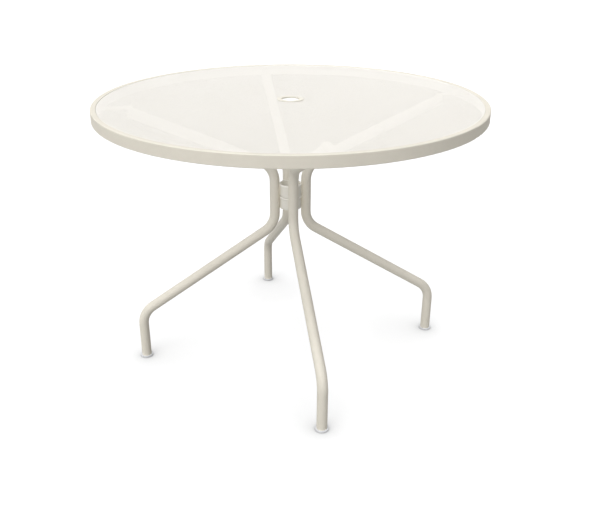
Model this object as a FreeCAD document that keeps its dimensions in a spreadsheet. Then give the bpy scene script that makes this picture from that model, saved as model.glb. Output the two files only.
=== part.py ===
# A round patio table with an umbrella hole.
#
# A rolled rim of rectangular tube carries a fine mesh panel with a flanged ring round the umbrella hole.
# Four bent round tubes make the base. Each starts as a foot, slopes in to the middle, stands up beside
# the axis and slopes out again as an arm under the top. Two collars between the four posts guide the
# umbrella's pole. A strap runs from the inside of the rim to each arm's end and is screwed to it from
# below. The origin is on the floor under the middle of the top. The front leg points along -Y.

import FreeCAD, Part
import Sketcher
import math
import os

LEG_ANGLES = {"right": 0.0, "back": 90.0, "left": 180.0, "front": 270.0}
SCREW_COUNT = len(LEG_ANGLES)
DRAIN_COUNT = 4
HEXAGON_SIDES = 6

# The mesh's grid: a quarter of the panel has so many openings along its side, each this share of the pitch
QUARTER_TURNS = 4
OPENINGS_PER_QUARTER = 6
OPENING_SHARE = 0.38

# Driving dimensions, in millimetres and degrees
SIZES = {
    # Overall
    "table_height": 752.0,
    "top_diameter": 1040.0,
    "foot_circle_diameter": 875.0,
    # Rim: a rolled rectangular tube with drain holes in its underside
    "rim_width": 15.0,
    "rim_height": 30.0,
    "rim_wall": 1.5,
    "rim_corner_radius": 2.5,
    "drain_diameter": 6.0,
    # Mesh panel
    "mesh_recess": 1.5,
    "mesh_thickness": 2.0,
    "mesh_edge_land": 12.0,
    "weld_gap": 0.3,
    # Umbrella hole ring
    "umbrella_hole_diameter": 48.0,
    "hole_ring_wall": 3.0,
    "hole_ring_flange_diameter": 72.0,
    "hole_ring_flange_thickness": 1.5,
    "hole_ring_depth": 4.0,
    # Straps
    "strap_length": 91.7,
    "strap_width": 20.0,
    "strap_thickness": 4.0,
    "strap_corner_radius": 3.0,
    "strap_overlap": 7.0,
    # Leg tube and its bends
    "tube_diameter": 28.0,
    "tube_wall": 1.5,
    "foot_bend_height": 144.0,
    "foot_bend_radius": 65.0,
    "post_length": 172.0,
    "lower_elbow_radius": 65.0,
    "upper_elbow_radius": 65.0,
    "arm_slope": 24.0,
    "saddle_depth": 3.7,
    # Collars
    "collar_diameter": 61.0,
    "collar_wall": 2.0,
    "collar_length": 35.0,
    "collar_gap": 1.3,
    # Plugs in the arms' ends
    "plug_length": 30.0,
    "plug_clearance": 0.15,
    # Screws and washers
    "screw_diameter": 5.0,
    "screw_length": 16.0,
    "screw_head_diameter": 9.5,
    "screw_head_height": 2.75,
    "screw_head_edge_height": 0.9,
    "screw_head_crown_diameter": 5.6,
    "screw_socket_width": 3.0,
    "screw_socket_depth": 1.6,
    "screw_hole_clearance": 0.5,
    "thread_clearance": 0.1,
    "screw_inset": 4.4,
    "washer_diameter": 10.0,
    "washer_thickness": 1.0,
    "counterbore_clearance": 0.5,
    # Foot glides
    "glide_diameter": 36.0,
    "glide_flange_thickness": 5.0,
    "glide_edge_radius": 1.5,
    "glide_stem_length": 24.0,
    "glide_rib_height": 4.0,
    "glide_rib_depth": 1.4,
    "glide_rib_land": 1.0,
    "glide_clearance": 0.1,
}

doc = FreeCAD.newDocument("umbrella_table")
sheet = doc.addObject("Spreadsheet::Sheet", "sizes")
for row, (alias, value) in enumerate(SIZES.items(), start=1):
    sheet.set("A%d" % row, alias)
    sheet.set("B%d" % row, str(value))
    sheet.setAlias("B%d" % row, alias)
doc.recompute()

# Places worked out from the driving dimensions, as expressions for the sheet
RIM_OUTER = "(sizes.top_diameter / 2)"
RIM_INNER = "(%s - sizes.rim_width)" % RIM_OUTER
RIM_BOTTOM = "(sizes.table_height - sizes.rim_height)"
MESH_TOP = "(sizes.table_height - sizes.mesh_recess)"
MESH_BOTTOM = "(%s - sizes.mesh_thickness)" % MESH_TOP
MESH_OUTER = "(%s - sizes.weld_gap)" % RIM_INNER
HUB_BORE = "(sizes.umbrella_hole_diameter / 2)"
HUB_OUTER = "(%s + sizes.hole_ring_wall)" % HUB_BORE
STRAP_TOP = "(%s - sizes.weld_gap)" % MESH_BOTTOM
STRAP_BOTTOM = "(%s - sizes.strap_thickness)" % STRAP_TOP
STRAP_OUTER_END = "(%s - sizes.weld_gap)" % RIM_INNER
STRAP_INNER_END = "(%s - sizes.strap_length)" % STRAP_OUTER_END
TUBE_RADIUS = "(sizes.tube_diameter / 2)"
TUBE_BORE = "(%s - sizes.tube_wall)" % TUBE_RADIUS
FOOT_RADIUS = "(sizes.foot_circle_diameter / 2)"
POST_RADIUS = "(sizes.collar_diameter / 2 + sizes.weld_gap + %s)" % TUBE_RADIUS

# The arm's end is cut square to the arm. The cut's upper corner lies under the strap, and the saddle
# takes it down to the strap's underside.
ARM_CORNER_RADIUS = "(%s + sizes.strap_overlap)" % STRAP_INNER_END
ARM_END_RADIUS = "(%s + %s * sin(sizes.arm_slope))" % (ARM_CORNER_RADIUS, TUBE_RADIUS)
ARM_END_HEIGHT = "(%s + sizes.saddle_depth - %s * cos(sizes.arm_slope))" % (STRAP_BOTTOM, TUBE_RADIUS)
UPPER_ELBOW = "(%s - (%s - %s) * tan(sizes.arm_slope))" % (ARM_END_HEIGHT, ARM_END_RADIUS, POST_RADIUS)
LOWER_ELBOW = "(%s - sizes.post_length)" % UPPER_ELBOW
POST_MIDDLE = "(%s + sizes.post_length / 2)" % LOWER_ELBOW

SCREW_RADIUS = "(%s + sizes.screw_inset)" % STRAP_INNER_END
SCREW_HEAD_TOP = "(%s - sizes.screw_length)" % STRAP_TOP
PLUG_SEAT = "(%s + sizes.washer_thickness)" % SCREW_HEAD_TOP
SCREW_HOLE_RADIUS = "((sizes.screw_diameter + sizes.screw_hole_clearance) / 2)"
COUNTERBORE_RADIUS = "((sizes.washer_diameter + sizes.counterbore_clearance) / 2)"

# How far a cut runs to pass right through a tube, one wall of the rim, and the mesh
TUBE_REACH = "(2 * sizes.tube_diameter)"
RIM_WALL_REACH = "(2 * sizes.rim_wall)"
MESH_REACH = "(2 * sizes.mesh_thickness)"


def number(expression):
    """The value of an expression on the sheet, as a plain number."""
    value = sheet.evalExpression(expression)
    return float(getattr(value, "Value", value))


def new_body(name):
    body = doc.addObject("PartDesign::Body", name)
    body.Label = name
    return body


def origin_feature(body, role):
    for feature in body.Origin.OriginFeatures:
        if feature.Role == role:
            return feature
    raise RuntimeError("no origin feature " + role)


def new_sketch(body, name, plane="XZ_Plane", height=None):
    """A sketch on one of the body's own planes. On XZ its axes are the radius and the height."""
    sketch = body.newObject("Sketcher::SketchObject", name)
    sketch.AttachmentSupport = [(origin_feature(body, plane), "")]
    sketch.MapMode = "FlatFace"
    if height is not None:
        sketch.setExpression("AttachmentOffset.Base.z", height)
    return sketch


def bind(sketch, constraint, expression):
    """Add a constraint whose value is the expression's."""
    kind, places = constraint
    index = sketch.addConstraint(Sketcher.Constraint(kind, *places, number(expression)))
    sketch.setExpression("Constraints[%d]" % index, expression)


def place(sketch, geometry, point, across, up):
    """Hold one point of a sketch at two expressions."""
    bind(sketch, ("DistanceX", (-1, 1, geometry, point)), across)
    bind(sketch, ("DistanceY", (-1, 1, geometry, point)), up)


def draw_polygon(sketch, corners):
    """Draw a closed outline through corners, each a pair of expressions."""
    points = [FreeCAD.Vector(number(across), number(up), 0) for across, up in corners]
    first = sketch.GeometryCount
    count = len(points)
    for index in range(count):
        sketch.addGeometry(Part.LineSegment(points[index], points[(index + 1) % count]), False)
    for index in range(count):
        following = first + (index + 1) % count
        sketch.addConstraint(Sketcher.Constraint("Coincident", first + index, 2, following, 1))
    for index, (across, up) in enumerate(corners):
        place(sketch, first + index, 1, across, up)


def draw_circle(sketch, radius, across=None):
    """Draw a circle, on the sketch's origin or out along its first axis."""
    middle = FreeCAD.Vector(number(across) if across else 0, 0, 0)
    index = sketch.addGeometry(Part.Circle(middle, FreeCAD.Vector(0, 0, 1), number(radius)), False)
    bind(sketch, ("Radius", (index,)), radius)
    if across:
        bind(sketch, ("DistanceX", (-1, 1, index, 3)), across)
        sketch.addConstraint(Sketcher.Constraint("PointOnObject", index, 3, -1))
    else:
        sketch.addConstraint(Sketcher.Constraint("Coincident", index, 3, -1, 1))


def draw_rounded_rectangle(sketch, left, right, low, high, radius):
    """Draw a rectangle with round corners between four expressions."""
    x0, x1, y0, y1, r = (number(e) for e in (left, right, low, high, radius))
    quarter = math.pi / 2
    corners = [(x1 - r, y0 + r, -1), (x1 - r, y1 - r, 0), (x0 + r, y1 - r, 1), (x0 + r, y0 + r, 2)]
    ends = [
        ((x0 + r, y0), (x1 - r, y0)),
        ((x1, y0 + r), (x1, y1 - r)),
        ((x1 - r, y1), (x0 + r, y1)),
        ((x0, y1 - r), (x0, y0 + r)),
    ]
    lines = []
    arcs = []
    for (start, end), (across, up, turn) in zip(ends, corners):
        line = Part.LineSegment(FreeCAD.Vector(*start, 0), FreeCAD.Vector(*end, 0))
        circle = Part.Circle(FreeCAD.Vector(across, up, 0), FreeCAD.Vector(0, 0, 1), r)
        arc = Part.ArcOfCircle(circle, turn * quarter, (turn + 1) * quarter)
        lines.append(sketch.addGeometry(line, False))
        arcs.append(sketch.addGeometry(arc, False))
    for index in range(4):
        following = lines[(index + 1) % 4]
        sketch.addConstraint(Sketcher.Constraint("Tangent", lines[index], 2, arcs[index], 1))
        sketch.addConstraint(Sketcher.Constraint("Tangent", arcs[index], 2, following, 1))
        bind(sketch, ("Radius", (arcs[index],)), radius)
    sketch.addConstraint(Sketcher.Constraint("Horizontal", lines[0]))
    sketch.addConstraint(Sketcher.Constraint("Vertical", lines[1]))
    bind(sketch, ("DistanceY", (-1, 1, lines[0], 1)), low)
    bind(sketch, ("DistanceX", (-1, 1, lines[1], 1)), right)
    bind(sketch, ("DistanceY", (-1, 1, lines[2], 1)), high)
    bind(sketch, ("DistanceX", (-1, 1, lines[3], 1)), left)


def revolve(body, sketch, axis="V_Axis"):
    feature = body.newObject("PartDesign::Revolution", body.Name + "_turned")
    feature.Profile = sketch
    feature.ReferenceAxis = (sketch, [axis])
    feature.Angle = 360
    return feature


def pad(body, sketch, length):
    feature = body.newObject("PartDesign::Pad", sketch.Name + "_pad")
    feature.Profile = sketch
    feature.setExpression("Length", length)
    return feature


def pocket(body, sketch, length=None, upwards=False, both_ways=False):
    """Cut a sketch's outline out of the body, and raise an error if it cuts nothing."""
    doc.recompute()
    before = body.Shape.Volume
    feature = body.newObject("PartDesign::Pocket", sketch.Name + "_cut")
    feature.Profile = sketch
    feature.Reversed = upwards
    feature.SideType = "Symmetric" if both_ways else "One side"
    if length is None:
        feature.Type = "ThroughAll"
    else:
        feature.setExpression("Length", length)
    doc.recompute()
    if not body.Shape.Volume < before:
        raise RuntimeError(sketch.Name + " cuts nothing")
    return feature


def repeat_round_axis(body, features, count):
    """Repeat features round the table's axis."""
    pattern = body.newObject("PartDesign::PolarPattern", body.Name + "_pattern")
    pattern.Originals = features
    pattern.Axis = (origin_feature(body, "Z_Axis"), [""])
    pattern.Angle = 360
    pattern.Occurrences = count
    body.Tip = pattern
    return pattern


def turn_round_axis(body, angle):
    """Turn a body that was drawn towards +X round to its own leg."""
    body.Placement = FreeCAD.Placement(FreeCAD.Vector(), FreeCAD.Rotation(FreeCAD.Vector(0, 0, 1), angle))


def make_rim():
    """A rectangular tube rolled into a ring, with drain holes in its underside between the legs."""
    body = new_body("rim_tube")
    section = new_sketch(body, "rim_section")
    draw_rounded_rectangle(section, RIM_INNER, RIM_OUTER, RIM_BOTTOM, "sizes.table_height",
                           "sizes.rim_corner_radius")
    inner_radius = "(sizes.rim_corner_radius - sizes.rim_wall)"
    draw_rounded_rectangle(section, "(%s + sizes.rim_wall)" % RIM_INNER,
                           "(%s - sizes.rim_wall)" % RIM_OUTER,
                           "(%s + sizes.rim_wall)" % RIM_BOTTOM,
                           "(sizes.table_height - sizes.rim_wall)", inner_radius)
    revolve(body, section)
    drain = new_sketch(body, "rim_drain", "XY_Plane", RIM_BOTTOM)
    middle = "((%s + %s) / 2)" % (RIM_INNER, RIM_OUTER)
    draw_circle(drain, "(sizes.drain_diameter / 2)", middle)
    cut = pocket(body, drain, RIM_WALL_REACH, upwards=True)
    repeat_round_axis(body, [cut], DRAIN_COUNT)
    turn_round_axis(body, 180.0 / DRAIN_COUNT)
    return body


def make_mesh_panel():
    """A flat disc with the hole for the ring, and a coarse grid of openings in place of the mesh's fine one.

    The openings of one quarter are drawn, from beside the axes out to the land at the edge, and turned
    round to the other quarters.
    """
    body = new_body("mesh_panel")
    outline = new_sketch(body, "mesh_outline", "XY_Plane", MESH_BOTTOM)
    draw_circle(outline, MESH_OUTER)
    draw_circle(outline, "(%s + sizes.weld_gap)" % HUB_OUTER)
    pad(body, outline, "sizes.mesh_thickness")
    pitch = "(%s / %d)" % (MESH_OUTER, OPENINGS_PER_QUARTER)
    edges = []
    for step in range(OPENINGS_PER_QUARTER):
        near = step + (1 - OPENING_SHARE) / 2
        far = step + (1 + OPENING_SHARE) / 2
        edges.append(("(%s * %g)" % (pitch, near), "(%s * %g)" % (pitch, far)))
    land = number("%s - sizes.mesh_edge_land" % MESH_OUTER)
    cuts = []
    for column, (left, right) in enumerate(edges):
        openings = new_sketch(body, "mesh_openings_%d" % column, "XY_Plane", MESH_BOTTOM)
        for low, high in edges:
            if math.hypot(number(right), number(high)) < land:
                draw_polygon(openings, [(left, low), (right, low), (right, high), (left, high)])
        cuts.append(pocket(body, openings, MESH_REACH, upwards=True))
    repeat_round_axis(body, cuts, QUARTER_TURNS)
    return body


def make_hole_ring():
    """A ring whose hub goes down through the mesh and whose flange lies on top of it."""
    body = new_body("umbrella_hole_ring")
    section = new_sketch(body, "hole_ring_section")
    flange_edge = "(sizes.hole_ring_flange_diameter / 2)"
    flange_top = "(%s + sizes.hole_ring_flange_thickness)" % MESH_TOP
    hub_bottom = "(%s - sizes.hole_ring_depth)" % flange_top
    draw_polygon(section, [
        (HUB_BORE, hub_bottom),
        (HUB_OUTER, hub_bottom),
        (HUB_OUTER, MESH_TOP),
        (flange_edge, MESH_TOP),
        (flange_edge, flange_top),
        (HUB_BORE, flange_top),
    ])
    revolve(body, section)
    return body


def make_strap(side):
    """A flat bar from the inside of the rim in over the arm's end, with a tapped hole."""
    body = new_body("strap_" + side)
    outline = new_sketch(body, "strap_outline_" + side, "XY_Plane", STRAP_BOTTOM)
    half = "(sizes.strap_width / 2)"
    draw_polygon(outline, [
        (STRAP_INNER_END, "-" + half),
        (STRAP_OUTER_END, "-" + half),
        (STRAP_OUTER_END, half),
        (STRAP_INNER_END, half),
    ])
    blank = pad(body, outline, "sizes.strap_thickness")
    doc.recompute()
    corners = []
    for index, edge in enumerate(body.Shape.Edges, start=1):
        rise = abs(edge.Vertexes[0].Point.z - edge.Vertexes[-1].Point.z)
        from_end = abs(edge.CenterOfMass.x - number(STRAP_INNER_END))
        if rise > number("sizes.strap_thickness") / 2 and from_end < number("sizes.strap_corner_radius"):
            corners.append("Edge%d" % index)
    rounding = body.newObject("PartDesign::Fillet", "strap_corners_" + side)
    rounding.Base = (blank, corners)
    rounding.setExpression("Radius", "sizes.strap_corner_radius")
    hole = new_sketch(body, "strap_hole_" + side, "XY_Plane", STRAP_BOTTOM)
    draw_circle(hole, "((sizes.screw_diameter + sizes.thread_clearance) / 2)", SCREW_RADIUS)
    pocket(body, hole, "sizes.strap_thickness", upwards=True)
    return body


def draw_leg_path(sketch):
    """Draw the tube's centre line: foot, stretcher, post and arm, with an arc at each of three bends."""
    foot_end = (FOOT_RADIUS, "sizes.glide_flange_thickness")
    bends = [
        (FOOT_RADIUS, "sizes.foot_bend_height", "sizes.foot_bend_radius"),
        (POST_RADIUS, LOWER_ELBOW, "sizes.lower_elbow_radius"),
        (POST_RADIUS, UPPER_ELBOW, "sizes.upper_elbow_radius"),
    ]
    arm_end = (ARM_END_RADIUS, ARM_END_HEIGHT)
    stations = [foot_end] + [bend[:2] for bend in bends] + [arm_end]
    points = [FreeCAD.Vector(number(across), number(up), 0) for across, up in stations]
    tangents = []
    arcs = []
    for index, bend in enumerate(bends, start=1):
        back = (points[index - 1] - points[index]).normalize()
        ahead = (points[index + 1] - points[index]).normalize()
        half_angle = back.getAngle(ahead) / 2
        radius = number(bend[2])
        reach = radius / math.tan(half_angle)
        middle = points[index] + (back + ahead).normalize() * (radius / math.sin(half_angle))
        start = points[index] + back * reach
        end = points[index] + ahead * reach
        leftward = back.cross(ahead).z < 0
        first, last = (start, end) if leftward else (end, start)
        angles = [math.atan2(point.y - middle.y, point.x - middle.x) for point in (first, last)]
        circle = Part.Circle(middle, FreeCAD.Vector(0, 0, 1), radius)
        tangents.append((start, end))
        arcs.append((Part.ArcOfCircle(circle, angles[0], angles[1]), leftward))
    starts = [points[0]] + [end for start, end in tangents]
    ends = [start for start, end in tangents] + [points[-1]]
    lines = []
    bend_ids = []
    for index in range(len(starts)):
        lines.append(sketch.addGeometry(Part.LineSegment(starts[index], ends[index]), False))
        if index < len(arcs):
            bend_ids.append(sketch.addGeometry(arcs[index][0], False))
    marks = [sketch.addGeometry(Part.Point(point), True) for point in points[1:-1]]
    for index, bend_id in enumerate(bend_ids):
        near, far = (1, 2) if arcs[index][1] else (2, 1)
        sketch.addConstraint(Sketcher.Constraint("Tangent", lines[index], 2, bend_id, near))
        sketch.addConstraint(Sketcher.Constraint("Tangent", bend_id, far, lines[index + 1], 1))
        bind(sketch, ("Radius", (bend_id,)), bends[index][2])
        sketch.addConstraint(Sketcher.Constraint("PointOnObject", marks[index], 1, lines[index]))
        sketch.addConstraint(Sketcher.Constraint("PointOnObject", marks[index], 1, lines[index + 1]))
        place(sketch, marks[index], 1, bends[index][0], bends[index][1])
    place(sketch, lines[0], 1, *foot_end)
    place(sketch, lines[-1], 2, *arm_end)


def sweep(body, kind, radius, path, side):
    """Sweep a circle at the foot's end along the leg's path."""
    name = "leg_%s_%s" % ("bore" if kind == "Subtractive" else "outside", side)
    section = new_sketch(body, name, "XY_Plane", "sizes.glide_flange_thickness")
    draw_circle(section, radius, FOOT_RADIUS)
    feature = body.newObject("PartDesign::%sPipe" % kind, name + "_sweep")
    feature.Profile = section
    feature.Spine = (path, [])
    return feature


def cut_saddle(body):
    """Take the arm's end down to the strap's underside."""
    outline = new_sketch(body, "%s_saddle" % body.Name)
    inner = "(%s - %s)" % (STRAP_INNER_END, TUBE_REACH)
    outer = "(%s + sizes.tube_diameter)" % ARM_END_RADIUS
    high = "(%s + sizes.tube_diameter)" % STRAP_BOTTOM
    draw_polygon(outline, [(inner, STRAP_BOTTOM), (outer, STRAP_BOTTOM), (outer, high), (inner, high)])
    pocket(body, outline, TUBE_REACH, both_ways=True)


def bore_for_screw(body):
    """Cut the counterbore from below, up to the washer's seat."""
    low = "(%s - %s)" % (PLUG_SEAT, TUBE_REACH)
    recess = new_sketch(body, "%s_counterbore" % body.Name, "XY_Plane", low)
    draw_circle(recess, COUNTERBORE_RADIUS, SCREW_RADIUS)
    pocket(body, recess, TUBE_REACH, upwards=True)


def make_leg(side):
    """One bent tube, open at both ends."""
    body = new_body("leg_" + side)
    path = new_sketch(body, "leg_path_" + side)
    draw_leg_path(path)
    sweep(body, "Additive", TUBE_RADIUS, path, side)
    doc.recompute()
    before = body.Shape.Volume
    sweep(body, "Subtractive", TUBE_BORE, path, side)
    doc.recompute()
    if not body.Shape.Volume < before:
        raise RuntimeError("the leg has no bore")
    cut_saddle(body)
    bore_for_screw(body)
    return body


def make_plug(side):
    """A solid slug in the arm's end, cut with the tube, which the screw clamps against."""
    body = new_body("plug_" + side)
    section = new_sketch(body, "plug_section_" + side)
    radius = "(%s - sizes.plug_clearance)" % TUBE_BORE
    along = ("cos(sizes.arm_slope)", "sin(sizes.arm_slope)")
    inner = ("(%s - sizes.plug_length * %s)" % (ARM_END_RADIUS, along[0]),
             "(%s - sizes.plug_length * %s)" % (ARM_END_HEIGHT, along[1]))
    lift = ("(%s * %s)" % (radius, along[1]), "(%s * %s)" % (radius, along[0]))
    draw_polygon(section, [
        inner,
        (ARM_END_RADIUS, ARM_END_HEIGHT),
        ("(%s - %s)" % (ARM_END_RADIUS, lift[0]), "(%s + %s)" % (ARM_END_HEIGHT, lift[1])),
        ("(%s - %s)" % (inner[0], lift[0]), "(%s + %s)" % (inner[1], lift[1])),
    ])
    axis = sketch_line(section, inner, (ARM_END_RADIUS, ARM_END_HEIGHT))
    revolve(body, section, axis)
    cut_saddle(body)
    bore_for_screw(body)
    hole = new_sketch(body, "plug_hole_" + side, "XY_Plane", PLUG_SEAT)
    draw_circle(hole, SCREW_HOLE_RADIUS, SCREW_RADIUS)
    pocket(body, hole, TUBE_REACH, upwards=True)
    return body


def sketch_line(sketch, start, end):
    """Add a construction line and give its name as an axis."""
    ends = [FreeCAD.Vector(number(across), number(up), 0) for across, up in (start, end)]
    index = sketch.addGeometry(Part.LineSegment(*ends), True)
    place(sketch, index, 1, *start)
    place(sketch, index, 2, *end)
    return "Axis0"


def make_collar(name, lowest):
    """A short length of round tube between the four posts."""
    body = new_body(name)
    outline = new_sketch(body, name + "_outline", "XY_Plane", lowest)
    draw_circle(outline, "(sizes.collar_diameter / 2)")
    draw_circle(outline, "(sizes.collar_diameter / 2 - sizes.collar_wall)")
    pad(body, outline, "sizes.collar_length")
    return body


def upright_axis(sketch, across, low, high):
    """A construction line that stands at a radius, for a piece that is turned about its own middle."""
    return sketch_line(sketch, (across, low), (across, high))


def make_screws():
    """Button head screws, heads down, one under each strap."""
    body = new_body("strap_screws")
    section = new_sketch(body, "screw_section")
    shank = "(%s + sizes.screw_diameter / 2)" % SCREW_RADIUS
    head = "(%s + sizes.screw_head_diameter / 2)" % SCREW_RADIUS
    crown = "(%s + sizes.screw_head_crown_diameter / 2)" % SCREW_RADIUS
    head_low = "(%s - sizes.screw_head_height)" % SCREW_HEAD_TOP
    head_edge = "(%s - sizes.screw_head_edge_height)" % SCREW_HEAD_TOP
    draw_polygon(section, [
        (SCREW_RADIUS, head_low),
        (crown, head_low),
        (head, head_edge),
        (head, SCREW_HEAD_TOP),
        (shank, SCREW_HEAD_TOP),
        (shank, STRAP_TOP),
        (SCREW_RADIUS, STRAP_TOP),
    ])
    turned = revolve(body, section, upright_axis(section, SCREW_RADIUS, head_low, STRAP_TOP))
    socket = new_sketch(body, "screw_socket", "XY_Plane", head_low)
    to_corner = "sizes.screw_socket_width / (2 * cos(180 / %d))" % HEXAGON_SIDES
    corners = []
    for index in range(HEXAGON_SIDES):
        turn = 360 * index / HEXAGON_SIDES
        corners.append(("(%s + %s * cos(%g))" % (SCREW_RADIUS, to_corner, turn),
                        "(%s * sin(%g))" % (to_corner, turn)))
    draw_polygon(socket, corners)
    cut = pocket(body, socket, "sizes.screw_socket_depth", upwards=True)
    repeat_round_axis(body, [turned, cut], SCREW_COUNT)
    return body


def make_washers():
    """A plain washer over each screw's head."""
    body = new_body("screw_washers")
    section = new_sketch(body, "washer_section")
    inner = "(%s + %s)" % (SCREW_RADIUS, SCREW_HOLE_RADIUS)
    outer = "(%s + sizes.washer_diameter / 2)" % SCREW_RADIUS
    draw_polygon(section, [
        (inner, SCREW_HEAD_TOP),
        (outer, SCREW_HEAD_TOP),
        (outer, PLUG_SEAT),
        (inner, PLUG_SEAT),
    ])
    turned = revolve(body, section, upright_axis(section, SCREW_RADIUS, SCREW_HEAD_TOP, PLUG_SEAT))
    repeat_round_axis(body, [turned], SCREW_COUNT)
    return body


def make_glide(side):
    """A plastic glide: a round flange under the tube and a ribbed stem pressed up into it."""
    body = new_body("glide_" + side)
    section = new_sketch(body, "glide_section_" + side)
    rib = "(%s + %s - sizes.glide_clearance)" % (FOOT_RADIUS, TUBE_BORE)
    core = "(%s - sizes.glide_rib_depth)" % rib
    flange = "(%s + sizes.glide_diameter / 2)" % FOOT_RADIUS
    top = "sizes.glide_flange_thickness"
    outline = [
        (FOOT_RADIUS, "0"),
        ("(%s - sizes.glide_edge_radius)" % flange, "0"),
        (flange, "sizes.glide_edge_radius"),
        (flange, top),
    ]
    rib_count = int(number("sizes.glide_stem_length / (2 * sizes.glide_rib_height)"))
    for index in range(rib_count):
        low = "(%s + %d * sizes.glide_rib_height)" % (top, 2 * index)
        high = "(%s + %d * sizes.glide_rib_height)" % (top, 2 * index + 1)
        outline += [(core, low), (core, high), (rib, high), (rib, "(%s + sizes.glide_rib_land)" % high)]
    stem_top = "(%s + sizes.glide_stem_length)" % top
    outline += [(core, stem_top), (FOOT_RADIUS, stem_top)]
    draw_polygon(section, outline)
    revolve(body, section, upright_axis(section, FOOT_RADIUS, "0", stem_top))
    return body


pieces = [make_rim(), make_mesh_panel(), make_hole_ring()]
stack = "(2 * sizes.collar_length + sizes.collar_gap)"
lower_collar_bottom = "(%s - %s / 2)" % (POST_MIDDLE, stack)
upper_collar_bottom = "(%s + sizes.collar_length + sizes.collar_gap)" % lower_collar_bottom
pieces.append(make_collar("collar_lower", lower_collar_bottom))
pieces.append(make_collar("collar_upper", upper_collar_bottom))
for side_name, side_angle in LEG_ANGLES.items():
    for make in (make_strap, make_leg, make_plug, make_glide):
        piece = make(side_name)
        turn_round_axis(piece, side_angle)
        pieces.append(piece)
pieces.append(make_screws())
pieces.append(make_washers())
doc.recompute()

for item in doc.Objects:
    if "Invalid" in item.State or "Error" in item.State:
        raise RuntimeError(item.Name + " failed")
for piece in pieces:
    if piece.Shape.isNull() or not piece.Shape.isValid():
        raise RuntimeError(piece.Label + " has no valid shape")

os.makedirs("parts", exist_ok=True)
for piece in pieces:
    piece.Shape.exportStep(os.path.join("parts", piece.Label + ".step"))
    print(piece.Label, len(piece.Shape.Solids), round(piece.Shape.Volume / 1000, 2))
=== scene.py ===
import bmesh
import bpy
from math import cos, pi, radians, sin, sqrt, tau
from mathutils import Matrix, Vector


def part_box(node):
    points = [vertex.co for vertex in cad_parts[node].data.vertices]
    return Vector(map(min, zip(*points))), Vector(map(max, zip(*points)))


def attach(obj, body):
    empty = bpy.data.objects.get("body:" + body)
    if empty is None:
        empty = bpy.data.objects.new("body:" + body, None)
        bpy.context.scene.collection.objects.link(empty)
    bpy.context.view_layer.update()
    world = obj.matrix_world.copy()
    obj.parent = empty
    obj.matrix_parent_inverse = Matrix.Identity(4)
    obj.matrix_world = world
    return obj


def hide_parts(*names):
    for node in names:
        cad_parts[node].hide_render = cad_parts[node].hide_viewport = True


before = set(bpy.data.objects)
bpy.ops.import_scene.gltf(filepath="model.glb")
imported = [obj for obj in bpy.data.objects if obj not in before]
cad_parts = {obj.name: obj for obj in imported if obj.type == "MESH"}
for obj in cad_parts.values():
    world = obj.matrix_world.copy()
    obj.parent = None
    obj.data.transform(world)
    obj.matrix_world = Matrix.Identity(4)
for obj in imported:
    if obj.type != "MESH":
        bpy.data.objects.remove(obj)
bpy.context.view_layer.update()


# Legs. Four bent steel tubes, 28 mm across, each one a foot, a stretcher, a post and an arm in one
# length. They are blasted and powder coated in a satin cream, which leaves a fine orange peel, a
# slightly uneven film and thin, paler edges where the powder draws back.
class Signal:
    """A value on its way through a finish, so that shader maths reads as plain sums."""

    def __init__(self, finish, socket):
        self.finish = finish
        self.socket = socket

    def __add__(self, other):
        return self.finish.maths("ADD", self, other)

    def __sub__(self, other):
        return self.finish.maths("SUBTRACT", self, other)

    def __rsub__(self, other):
        return self.finish.maths("SUBTRACT", other, self)

    def __mul__(self, other):
        return self.finish.maths("MULTIPLY", self, other)

    def __gt__(self, other):
        return self.finish.maths("GREATER_THAN", self, other)

    __radd__ = __add__
    __rmul__ = __mul__


def grey(level):
    return (level, level, level, 1)


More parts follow.
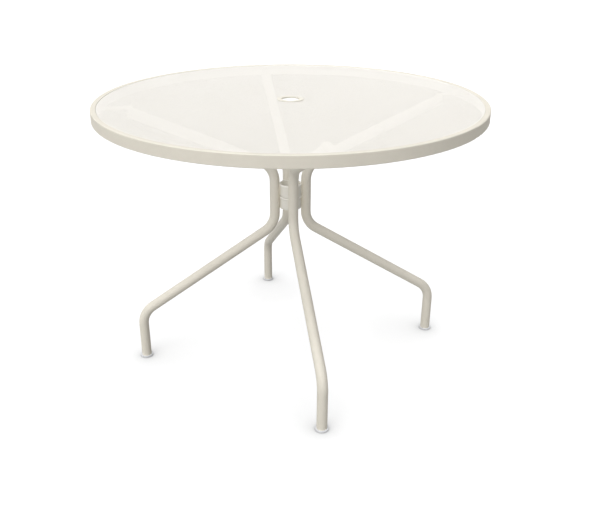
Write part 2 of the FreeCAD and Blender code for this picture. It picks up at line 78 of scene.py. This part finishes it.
class Finish:
    """The nodes of one material, or of the studio's surroundings."""

    def __init__(self, owner):
        owner.use_nodes = True
        self.owner = owner
        self.tree = owner.node_tree
        self.tree.nodes.clear()

    def node(self, kind, settings=None, inputs=None, output=0):
        """Makes a node: its settings first, then a number, colour or Signal for each input."""
        made = self.tree.nodes.new("ShaderNode" + kind)
        for name, value in (settings or {}).items():
            if name == "stops":
                for element, stop in zip(made.color_ramp.elements, value):
                    element.position, element.color = stop
            else:
                setattr(made, name, value)
        for name, value in (inputs or {}).items():
            if isinstance(value, Signal):
                self.tree.links.new(value.socket, made.inputs[name])
            else:
                made.inputs[name].default_value = value
        return Signal(self, made.outputs[output]) if made.outputs else None

    def maths(self, operation, *values):
        return self.node("Math", {"operation": operation}, dict(enumerate(values)))

    def vector_maths(self, operation, output, *values):
        return self.node("VectorMath", {"operation": operation}, dict(enumerate(values)), output)

    def mix(self, amount, first, second):
        """A colour from first to second. Mix takes them at 0, 6 and 7 and gives it at 2."""
        return self.node("Mix", {"data_type": "RGBA"}, {0: amount, 6: first, 7: second}, 2)

    def ramp(self, value, *stops):
        """A number that follows value between two stops, each a position and the level there."""
        greys = [(position, grey(level)) for position, level in stops]
        return self.node("ValToRGB", {"stops": greys}, {"Fac": value})

    def noise(self, place, size, detail):
        """Soft noise whose blotches are about size across, in metres."""
        return self.node("TexNoise", {}, {"Vector": place, "Scale": 0.5 / size, "Detail": detail})

    def bump(self, height, depth, strength, **over):
        """A bumped normal, where a height of 1 stands depth metres proud."""
        inputs = {"Strength": strength, "Distance": depth, "Height": height, **over}
        return self.node("Bump", {}, inputs)

    def worn_edges(self, radius, samples=6, contrast=5.0):
        """The rounded normal of a coated edge, and how near an edge each place is, 0 to 1."""
        rounded = self.node("Bevel", {"samples": samples}, {"Radius": radius})
        flat = self.node("NewGeometry", output="Normal")
        facing = self.vector_maths("DOT_PRODUCT", "Value", rounded, flat)
        return rounded, self.maths("MINIMUM", (1 - facing) * contrast, 1.0)

    def shader(self, **inputs):
        """A Principled shader. An underscore in an input's name stands for a space."""
        named = {name.replace("_", " "): value for name, value in inputs.items()}
        return self.node("BsdfPrincipled", {}, named)

    def end(self, shader, kind="OutputMaterial"):
        """Ends the nodes in a shader, and gives the material or world that they belong to."""
        self.node(kind, {}, {"Surface": shader})
        return self.owner


SATIN = 0.22
NIBS_PER_METRE = 160.0


def coat(name, thin, full, edge, gloss=SATIN, inside=None, painted_light_reach=0.0):
    """A powder coat, from thin to full where its film is thin or full, and edge along edges.

    Where inside is given, its colour within the given reach of the table's axis is inside: a paler
    colour, painted light that makes an inner wall look more brightly lit.
    """
    made = Finish(bpy.data.materials.new(name))
    place = made.node("TexCoord", output="Object")
    film = made.noise(place, size=0.045, detail=3.0)
    mottle = made.noise(place, size=0.006, detail=3.0)
    peel = made.noise(place, size=0.0012, detail=2.0)
    cells = {"Vector": place, "Scale": NIBS_PER_METRE}
    nibs = made.node("TexVoronoi", {"feature": "F1"}, cells, "Distance")
    nibs = made.ramp(nibs, (0.0, 1.0), (0.05, 0.0))
    rounded, worn = made.worn_edges(radius=0.0009)
    body = made.mix(made.ramp(film * 0.7 + mottle * 0.3, (0.3, 0.0), (0.7, 1.0)), thin, full)
    # Painted light: a paler colour on the inner wall, so that it looks more brightly lit than the
    # lamps make it.
    if inside:
        level = made.vector_maths("MULTIPLY", "Vector", place, (1, 1, 0))
        from_axis = made.vector_maths("LENGTH", "Value", level)
        body = made.mix(from_axis > painted_light_reach, inside, body)
    return made.end(made.shader(
        Base_Color=made.mix(worn * 0.5, body, edge),
        Roughness=0.46 + film * 0.12 + mottle * 0.06 - worn * 0.08,
        Specular_IOR_Level=gloss,
        Normal=made.bump(peel + nibs * 0.5, depth=0.00006, strength=0.5, Normal=rounded),
    ))


def dress(material, *nodes):
    """Gives CAD nodes a finish in place of the plain one that they come with."""
    for node in nodes:
        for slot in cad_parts[node].material_slots:
            slot.material = material


HEADINGS = {"right": 0.0, "back": pi / 2, "left": pi, "front": -pi / 2}
SIDES = tuple(HEADINGS)
CREAM = {
    "thin": (0.760, 0.717, 0.620, 1),
    "full": (0.806, 0.760, 0.661, 1),
    "edge": (0.818, 0.778, 0.690, 1),
}
cream_coat = coat("cream_powder_coat", **CREAM)
dress(cream_coat, *("leg_" + side for side in SIDES))


# Collars. Two short rings of 61 mm tube, one over the other between the posts. Each is welded to
# one pair of legs with short upright beads, ground a little and coated with the legs.
BEAD_ROUNDS = 8
BEAD_BLUNTNESS = 8
BEAD_END = 0.1
BEAD_RIPPLE = 0.10


def spoke(heading):
    """A level direction out from the table's axis."""
    return Vector((cos(heading), sin(heading), 0))


def up(height):
    return Vector((0, 0, height))


def leg_directions(side):
    """The direction out along a leg, and the level one across it."""
    outward = spoke(HEADINGS[side])
    return outward, Vector((-outward.y, outward.x, 0))


def section(mesh, centre, radius, across, over, rounds):
    """Adds the corners of a round section that lies along two directions."""
    corners = []
    for turn in range(rounds):
        angle = tau * turn / rounds
        corners.append(mesh.verts.new(centre + radius * (cos(angle) * across + sin(angle) * over)))
    return corners


def skin(mesh, rings, closed=False):
    """Adds faces from each ring of corners to the next, and if closed, from last to first."""
    faces = []
    for this, following in zip(rings, rings[1:] + rings[:1] if closed else rings[1:]):
        for corner in range(len(this)):
            after = (corner + 1) % len(this)
            around = (this[corner], following[corner], following[after], this[after])
            faces.append(mesh.faces.new(around))
    return faces


def bead(mesh, path, radius, ripples):
    """Adds a weld bead along path: a round, rippled bar that thins to a tenth at both ends."""
    steps = len(path) - 1
    rings = []
    for step, centre in enumerate(path):
        along = step / steps
        ahead = path[min(step + 1, steps)] - path[max(step - 1, 0)]
        across = ahead.normalized().orthogonal().normalized()
        over = ahead.normalized().cross(across)
        fullness = sqrt(max(0.0, 1 - (2 * along - 1) ** BEAD_BLUNTNESS))
        swell = fullness * (1 - BEAD_END) + BEAD_END
        wide = radius * swell * (1 + BEAD_RIPPLE * abs(sin(pi * ripples * along)))
        rings.append(section(mesh, centre, wide, across, over, BEAD_ROUNDS))
    skin(mesh, rings)
    mesh.faces.new(rings[0][::-1])
    mesh.faces.new(rings[-1])


def shown(name, data):
    """Puts a mesh, lamp or camera into the scene as an object."""
    made = bpy.data.objects.new(name, data)
    bpy.context.scene.collection.objects.link(made)
    return made


def mesh_object(name, mesh, material):
    """Turns a finished mesh into an object with one finish."""
    data = bpy.data.meshes.new(name)
    mesh.to_mesh(data)
    mesh.free()
    data.materials.append(material)
    return shown(name, data)


def piece(name, mesh, material, slot, *replaced):
    """Turns a finished mesh into a piece of the object, fixed to the table's one body."""
    bmesh.ops.recalc_face_normals(mesh, faces=mesh.faces)
    for face in mesh.faces:
        face.smooth = True
    made = mesh_object(name, mesh, material)
    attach(made, "root")
    if replaced:
        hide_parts(*replaced)
    return made


# The collars' coat is the legs' cream made lighter: painted light against the shade between the
# posts.
collar_coat_painted_lighter = coat(
    "collar_powder_coat_painted_lighter",
    thin=(0.785, 0.762, 0.690, 1),
    full=(0.832, 0.806, 0.731, 1),
    edge=(0.84, 0.82, 0.75, 1),
)
dress(collar_coat_painted_lighter, "collar_upper", "collar_lower")
# The rolled edges' coat is nearly white: a painted highlight along the top of each collar.
rolled_edge_painted_highlight = coat(
    "rolled_edge_painted_highlight_coat",
    thin=(0.93, 0.905, 0.84, 1),
    full=(0.96, 0.935, 0.87, 1),
    edge=(0.97, 0.945, 0.88, 1),
)
POST_CIRCLE = 0.0448
TUBE_RADIUS = 0.014
COLLAR_RADIUS = 0.0305
COLLAR_BEAD = 0.0014
COLLAR_BEAD_STEPS = 40
COLLAR_BEAD_RIPPLES = 12
COLLAR_BEAD_END_GAP = 0.003
COLLAR_BEAD_STANDS_OFF = COLLAR_BEAD * 0.7
ROLL_CIRCLE = 0.0301
ROLL_RADIUS = 0.0022
ROLL_STEPS = 96
ROLL_ROUNDS = 12

# A bead lies in the groove between collar and post, its middle equally far off both.
to_collar = COLLAR_RADIUS + COLLAR_BEAD_STANDS_OFF
to_post = TUBE_RADIUS + COLLAR_BEAD_STANDS_OFF
groove_out = (to_collar ** 2 - to_post ** 2 + POST_CIRCLE ** 2) / (2 * POST_CIRCLE)
groove_aside = sqrt(to_collar ** 2 - groove_out ** 2)
for collar, welded in (("collar_upper", ("left", "right")), ("collar_lower", ("back", "front"))):
    low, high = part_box(collar)
    top, bottom = high[2] - COLLAR_BEAD_END_GAP, low[2] + COLLAR_BEAD_END_GAP
    beads = bmesh.new()
    for side in welded:
        outward, aside = leg_directions(side)
        for hand in (-1, 1):
            foot = outward * groove_out + aside * groove_aside * hand
            path = [
                foot + up(bottom + (top - bottom) * step / COLLAR_BEAD_STEPS)
                for step in range(COLLAR_BEAD_STEPS + 1)
            ]
            bead(beads, path, COLLAR_BEAD, COLLAR_BEAD_RIPPLES)
    which = collar.removeprefix("collar_")
    piece("weld_beads_" + which, beads, cream_coat, "powder_coat")
    roll = bmesh.new()
    rings = []
    for step in range(ROLL_STEPS):
        outward = spoke(tau * step / ROLL_STEPS)
        middle = outward * ROLL_CIRCLE + up(high[2] - ROLL_RADIUS)
        rings.append(section(roll, middle, ROLL_RADIUS, outward, up(1), ROLL_ROUNDS))
    skin(roll, rings, closed=True)
    piece("rolled_edge_" + which, roll, rolled_edge_painted_highlight, "powder_coat")


# Arm plugs. Four turned steel slugs pushed flush into the arms' ends, welded, ground and coated
# with the legs. Each is drilled and counterbored from below for its screw.
dress(cream_coat, *("plug_" + side for side in SIDES))


# Foot glides. Four milky plastic glides, moulded with a flange, three ribs and a dull flat sole,
# and pressed into the feet. The sole is scuffed from the floor.
SCUFF_HEIGHT = 0.004


def milky_plastic():
    made = Finish(bpy.data.materials.new("milky_glide_plastic"))
    place = made.node("TexCoord", output="Object")
    height = made.node("SeparateXYZ", {}, {"Vector": place}, "Z")
    cloud = made.noise(place, size=0.008, detail=3.0)
    scratches = made.noise(place, size=0.0009, detail=6.0)
    scuffed = made.ramp(height * (1 / SCUFF_HEIGHT), (0.0, 1.0), (0.6, 0.0))
    tone = made.mix(cloud, (0.74, 0.75, 0.77, 1), (0.82, 0.825, 0.84, 1))
    rounded, worn = made.worn_edges(radius=0.0005)
    scored = scratches * (0.3 + scuffed * 0.7)
    return made.end(made.shader(
        Base_Color=made.mix(scuffed * 0.5, tone, (0.62, 0.61, 0.60, 1)),
        Roughness=0.32 + scuffed * 0.3 + worn * 0.1,
        Normal=made.bump(scored, depth=0.00008, strength=0.4, Normal=rounded),
    ))


dress(milky_plastic(), *("glide_" + side for side in SIDES))


# Rim. One ring of rectangular steel tube, 15 mm by 30 mm, rolled the hard way, butt welded, ground
# flush and coated like the legs. Its inner wall is painted paler, a painted light that makes it
# look more brightly lit.
RIM_INSIDE = 0.505
INNER_WALL_LIGHT_REACH = RIM_INSIDE + 0.0005
# The rim's inner wall gets a paler colour: painted light, for a wall lit more brightly than the
# lamps light it.
rim_coat_and_wall_light = coat(
    "rim_powder_coat_and_painted_wall_light",
    **CREAM,
    gloss=0.06,
    inside=(0.95, 0.918, 0.85, 1),
    painted_light_reach=INNER_WALL_LIGHT_REACH,
)
dress(rim_coat_and_wall_light, "rim_tube")


# Umbrella hole ring. A short steel tube with a flange, welded into the middle of the mesh. Its
# coat is painted a little paler than the rim's: painted light that lifts its shaded inner wall.
hole_coat_painted_lighter = coat(
    "hole_ring_coat_painted_lighter",
    thin=(0.80, 0.757, 0.66, 1),
    full=(0.86, 0.815, 0.715, 1),
    edge=(0.84, 0.80, 0.71, 1),
)
dress(hole_coat_painted_lighter, "umbrella_hole_ring")


# Mesh top. Fine steel mesh, cut to a disc and welded inside the rim and round the hole ring: two
# layers of flattened wire at right angles, 1.5 mm apart, fused where they cross by their coat. The
# coat is whiter than the legs' cream: partly its own colour, partly painted light that brightens
# the top.
MESH_PITCH = 0.0015
MESH_WIRE_WIDTH = 0.0010
MESH_WIRE_HALF = 0.00006
MESH_RADIUS = 0.5047
MESH_HOLE_RADIUS = 0.0273
MESH_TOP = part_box("mesh_panel")[1][2]
MESH_UNDERSIDE = MESH_TOP - 4 * MESH_WIRE_HALF
HEM_WIDTH = 0.0015
HEM_STEPS = 180
WIRE_SECTION = ((-0.5, 0.0), (-0.3, 1.0), (0.3, 1.0), (0.5, 0.0), (0.3, -1.0), (-0.3, -1.0))


def sharpen(faces):
    """Keeps the edges of faces sharp where the mesh is shaded smooth."""
    for face in faces:
        for edge in face.edges:
            edge.smooth = False


def wire(mesh, start, end, across):
    """Adds one flattened wire from start to end, with its width along across."""
    ends = []
    for point in (start, end):
        ends.append([
            mesh.verts.new(point + across * MESH_WIRE_WIDTH * wide + up(MESH_WIRE_HALF * tall))
            for wide, tall in WIRE_SECTION
        ])
    skin(mesh, ends)
    sharpen((mesh.faces.new(ends[0][::-1]), mesh.faces.new(ends[1])))


def reach(offset):
    """How far from the middle a wire ends, so that both of its edges stay in the mesh's disc."""
    edge = abs(offset) + MESH_WIRE_WIDTH / 2
    return sqrt(MESH_RADIUS ** 2 - edge ** 2)


def past_hole(offset):
    """How far from the middle a wire starts, so that both of its edges clear the hole."""
    edge = max(0.0, abs(offset) - MESH_WIRE_WIDTH / 2)
    return sqrt(MESH_HOLE_RADIUS ** 2 - edge ** 2) if edge < MESH_HOLE_RADIUS else 0.0


def hem(mesh, inside, outside):
    """Adds the flat border that the coat leaves along an edge of the mesh."""
    corners = (
        (inside, MESH_TOP), (outside, MESH_TOP), (outside, MESH_UNDERSIDE), (inside, MESH_UNDERSIDE)
    )
    rings = []
    for step in range(HEM_STEPS):
        outward = spoke(tau * step / HEM_STEPS)
        rings.append([mesh.verts.new(outward * radius + up(height)) for radius, height in corners])
    sharpen(skin(mesh, rings, closed=True))


mesh_work = bmesh.new()
hem(mesh_work, MESH_RADIUS - HEM_WIDTH, MESH_RADIUS)
hem(mesh_work, MESH_HOLE_RADIUS, MESH_HOLE_RADIUS + HEM_WIDTH)
wires_each_side = int((MESH_RADIUS - MESH_WIRE_WIDTH / 2) / MESH_PITCH)
for along, across, level in (
    (Vector((1, 0, 0)), Vector((0, 1, 0)), MESH_TOP - 3 * MESH_WIRE_HALF),
    (Vector((0, 1, 0)), Vector((1, 0, 0)), MESH_TOP - MESH_WIRE_HALF),
):
    for count in range(-wires_each_side, wires_each_side + 1):
        offset = count * MESH_PITCH
        half = reach(offset)
        inner = past_hole(offset)
        middle = across * offset + up(level)
        if inner > 0.0:
            wire(mesh_work, middle - along * half, middle - along * inner, across)
            wire(mesh_work, middle + along * inner, middle + along * half, across)
        else:
            wire(mesh_work, middle - along * half, middle + along * half, across)


def mesh_coat_and_painted_light():
    made = Finish(bpy.data.materials.new("mesh_coat_and_painted_light_finish"))
    place = made.node("TexCoord", output="Object")
    film = made.noise(place, size=0.06, detail=3.0)
    dust = made.noise(place, size=0.004, detail=4.0)
    wave = tau / MESH_PITCH
    east = made.node("SeparateXYZ", {}, {"Vector": place}, "X")
    north = made.node("SeparateXYZ", {}, {"Vector": place}, "Y")
    crossings = made.maths("COSINE", east * wave) * made.maths("COSINE", north * wave)
    cloud = film * 0.6 + dust * 0.4
    return made.end(made.shader(
        # Whiter than the legs' cream: partly the coat's own colour, partly painted light that
        # brightens the top.
        Base_Color=made.mix(cloud, (0.936, 0.902, 0.840, 1), (0.966, 0.934, 0.869, 1)),
        Roughness=0.5 + dust * 0.15,
        Specular_IOR_Level=SATIN,
        Normal=made.bump(crossings * 0.5 + dust * 0.3, depth=0.00004, strength=0.5),
    ))


mesh_top = piece("mesh_top", mesh_work, mesh_coat_and_painted_light(), "coated_mesh", "mesh_panel")
mesh_top.visible_shadow = False
mesh_top.visible_diffuse = False


# Straps. Four flat steel bars under the mesh, 20 mm wide, from each arm's end to the inside of the
# rim. Each is welded to the rim along its end and tapped for its screw.
STRAP_HALF_WIDTH = 0.010
STRAP_BEAD = 0.0016
STRAP_BEAD_SHARE = 0.9
STRAP_BEAD_STEPS = 24
STRAP_BEAD_RIPPLES = 8
STRAP_BEAD_OFF_RIM = STRAP_BEAD * 0.6
STRAP_BEAD_BELOW = STRAP_BEAD * 0.3
dress(cream_coat, *("strap_" + side for side in SIDES))
strap_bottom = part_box("strap_right")[0][2]
beads = bmesh.new()
for side in SIDES:
    outward, aside = leg_directions(side)
    path = []
    for step in range(STRAP_BEAD_STEPS + 1):
        off = STRAP_HALF_WIDTH * STRAP_BEAD_SHARE * (2 * step / STRAP_BEAD_STEPS - 1)
        out = sqrt(RIM_INSIDE ** 2 - off ** 2) - STRAP_BEAD_OFF_RIM
        path.append(outward * out + aside * off + up(strap_bottom - STRAP_BEAD_BELOW))
    bead(beads, path, STRAP_BEAD, STRAP_BEAD_RIPPLES)
piece("weld_beads_straps", beads, cream_coat, "powder_coat")


# Strap screws and washers. Four M5 button head screws with a plain washer each, bright zinc plated,
# driven up through the arms' ends into the straps.
def bright_zinc():
    made = Finish(bpy.data.materials.new("bright_zinc_plate"))
    place = made.node("TexCoord", output="Object")
    bloom = made.noise(place, size=0.002, detail=4.0)
    grain = made.noise(place, size=0.0003, detail=3.0)
    rounded, worn = made.worn_edges(radius=0.0003)
    return made.end(made.shader(
        Base_Color=made.mix(bloom, (0.62, 0.63, 0.64, 1), (0.76, 0.77, 0.78, 1)),
        Metallic=1.0,
        Roughness=0.26 + bloom * 0.16 - worn * 0.06,
        Normal=made.bump(grain, depth=0.00003, strength=0.3, Normal=rounded),
    ))


dress(bright_zinc(), "strap_screws", "screw_washers")


# Studio. A plain pale floor, even light all round, a broad soft lamp with its fill from the front
# left and another overhead. The floor shows white, but for a soft shade close round each foot.
FLOOR_RADIUS = 40.0
STUDIO_STEPS = 96
FLOOR_COLOUR = (0.40, 0.40, 0.397, 1)
FLOOR_GLOW = grey(0.70)
# Seen through the mesh the floor shows a painted shade, darker than its white.
FLOOR_SHADE_THROUGH_MESH = (0.15, 0.13, 0.07, 1)
FOOT_SHADE_REACH = 0.21
FOOT_SHADE_SAMPLES = 16


def studio_surface(owner, white, shade_through_mesh, plain):
    """A finish and its colour: white where looked at, a darker painted shade where looked at
    through the mesh, and plain for all other light. Reflections and refractions count as looking.
    """
    made = Finish(owner)
    seen = made.node("LightPath", output="Is Camera Ray")
    glossy = made.node("LightPath", output="Is Glossy Ray")
    transmitted = made.node("LightPath", output="Is Transmission Ray")
    sheets = made.node("LightPath", output="Transparent Depth")
    looked_at = made.maths("MAXIMUM", made.maths("MAXIMUM", seen, glossy), transmitted)
    colour = made.mix(sheets > 0.5, white, shade_through_mesh)
    return made, made.mix(looked_at, plain, colour)


floor_finish, floor_glow = studio_surface(
    bpy.data.materials.new("studio_floor"), FLOOR_GLOW, FLOOR_SHADE_THROUGH_MESH, grey(0)
)
openness = floor_finish.node(
    "AmbientOcclusion", {"samples": FOOT_SHADE_SAMPLES}, {"Distance": FOOT_SHADE_REACH}, "AO"
)
foot_shade = floor_finish.ramp(openness, (0.5, 0.26), (1.0, 1.0))
seen = floor_finish.node("LightPath", output="Is Camera Ray")
sheets = floor_finish.node("LightPath", output="Transparent Depth")
floor_shader = floor_finish.shader(
    # Seen through the mesh the floor takes no light, and shows only its painted shade.
    Base_Color=floor_finish.mix(seen * (sheets > 0.5), FLOOR_COLOUR, grey(0)),
    Roughness=1.0,
    Specular_IOR_Level=0.0,
    Emission_Color=floor_finish.mix(foot_shade, grey(0), floor_glow),
    Emission_Strength=1.0,
)
from_below = floor_finish.node("NewGeometry", output="Backfacing")
open_floor = floor_finish.node("BsdfTransparent")
floor_sides = {0: from_below, 1: floor_shader, 2: open_floor}
floor_finish.end(floor_finish.node("MixShader", {}, floor_sides))
floor_work = bmesh.new()
bmesh.ops.create_circle(floor_work, cap_ends=True, radius=FLOOR_RADIUS, segments=STUDIO_STEPS)
studio_floor = mesh_object("studio_floor", floor_work, floor_finish.owner)

# A sheet just under the mesh, clear to the camera. It lets 58% of the light through, in place of
# the mesh's own shadow, and by it the floor and the studio tell that they are seen through the
# mesh, where the photograph's are darker.
SHEET_LEVEL = MESH_TOP - 0.0008
MESH_SHADE = 0.58
clear_finish = Finish(bpy.data.materials.new("clear_sheet"))
camera_ray = clear_finish.node("LightPath", output="Is Camera Ray")
clear = clear_finish.mix(camera_ray, grey(MESH_SHADE), grey(1))
clear_finish.end(clear_finish.node("BsdfTransparent", {}, {"Color": clear}))
sheet_work = bmesh.new()
sheet_rings = []
for radius in (MESH_HOLE_RADIUS, MESH_RADIUS):
    headings = (tau * step / STUDIO_STEPS for step in range(STUDIO_STEPS))
    sheet_rings.append([
        sheet_work.verts.new(spoke(heading) * radius + up(SHEET_LEVEL)) for heading in headings
    ])
skin(sheet_work, sheet_rings)
clear_sheet = mesh_object("clear_sheet", sheet_work, clear_finish.owner)
clear_sheet.visible_glossy = False
clear_sheet.visible_transmission = False

AMBIENT = (0.232, 0.224, 0.211, 1)
# Seen through the mesh the studio shows a painted shade, darker than its white.
WORLD_SHADE_THROUGH_MESH = (0.445, 0.423, 0.376, 1)
world = bpy.data.worlds.new("studio_light")
bpy.context.scene.world = world
world_finish, world_colour = studio_surface(world, grey(1), WORLD_SHADE_THROUGH_MESH, AMBIENT)
world_light = world_finish.node("Background", {}, {"Color": world_colour, "Strength": 1.0})
world_finish.end(world_light, "OutputWorld")

TOWARDS_KEY = Vector((-0.4557, -0.5243, 0.7193))
TOWARDS_FILL = Vector((-0.5946, -0.6840, 0.4226))
for name, level, colour, spread, shadow, towards in (
    ("soft_key", 0.22, (0.995, 1.0, 1.01), 50, True, TOWARDS_KEY),
    ("soft_fill", 0.335, (0.995, 1.0, 1.01), 50, False, TOWARDS_FILL),
    ("soft_top", 0.61, (0.975, 1.0, 1.045), 70, True, up(1)),
):
    lamp_data = bpy.data.lights.new(name, "SUN")
    lamp_data.energy = level * pi
    lamp_data.angle = radians(spread)
    lamp_data.use_shadow = shadow
    lamp_data.color = colour
    lamp = shown(name, lamp_data)
    lamp.rotation_euler = towards.to_track_quat("Z", "Y").to_euler()


# Camera. It stands at eye height in front of the table and a little to its left, looking down, as
# the photograph's did. The shifts put the picture's middle where the photograph has it.
PHOTO_WIDTH = 600
LOOKING_DOWN = 24.54
TURNED_RIGHT = 10.585
camera_data = bpy.data.cameras.new("photo_camera")
camera_data.lens = 43.10
camera_data.sensor_width = 36.0
camera_data.shift_x = 9.6 / PHOTO_WIDTH
camera_data.shift_y = -5.44 / PHOTO_WIDTH
camera_data.clip_end = 100.0
photo_camera = shown("photo_camera", camera_data)
photo_camera.location = (-0.3520, -1.8836, 1.1734)
photo_camera.rotation_euler = (radians(90 - LOOKING_DOWN), 0.0, radians(-TURNED_RIGHT))
bpy.context.scene.camera = photo_camera
bpy.context.scene.view_settings.view_transform = "Standard"
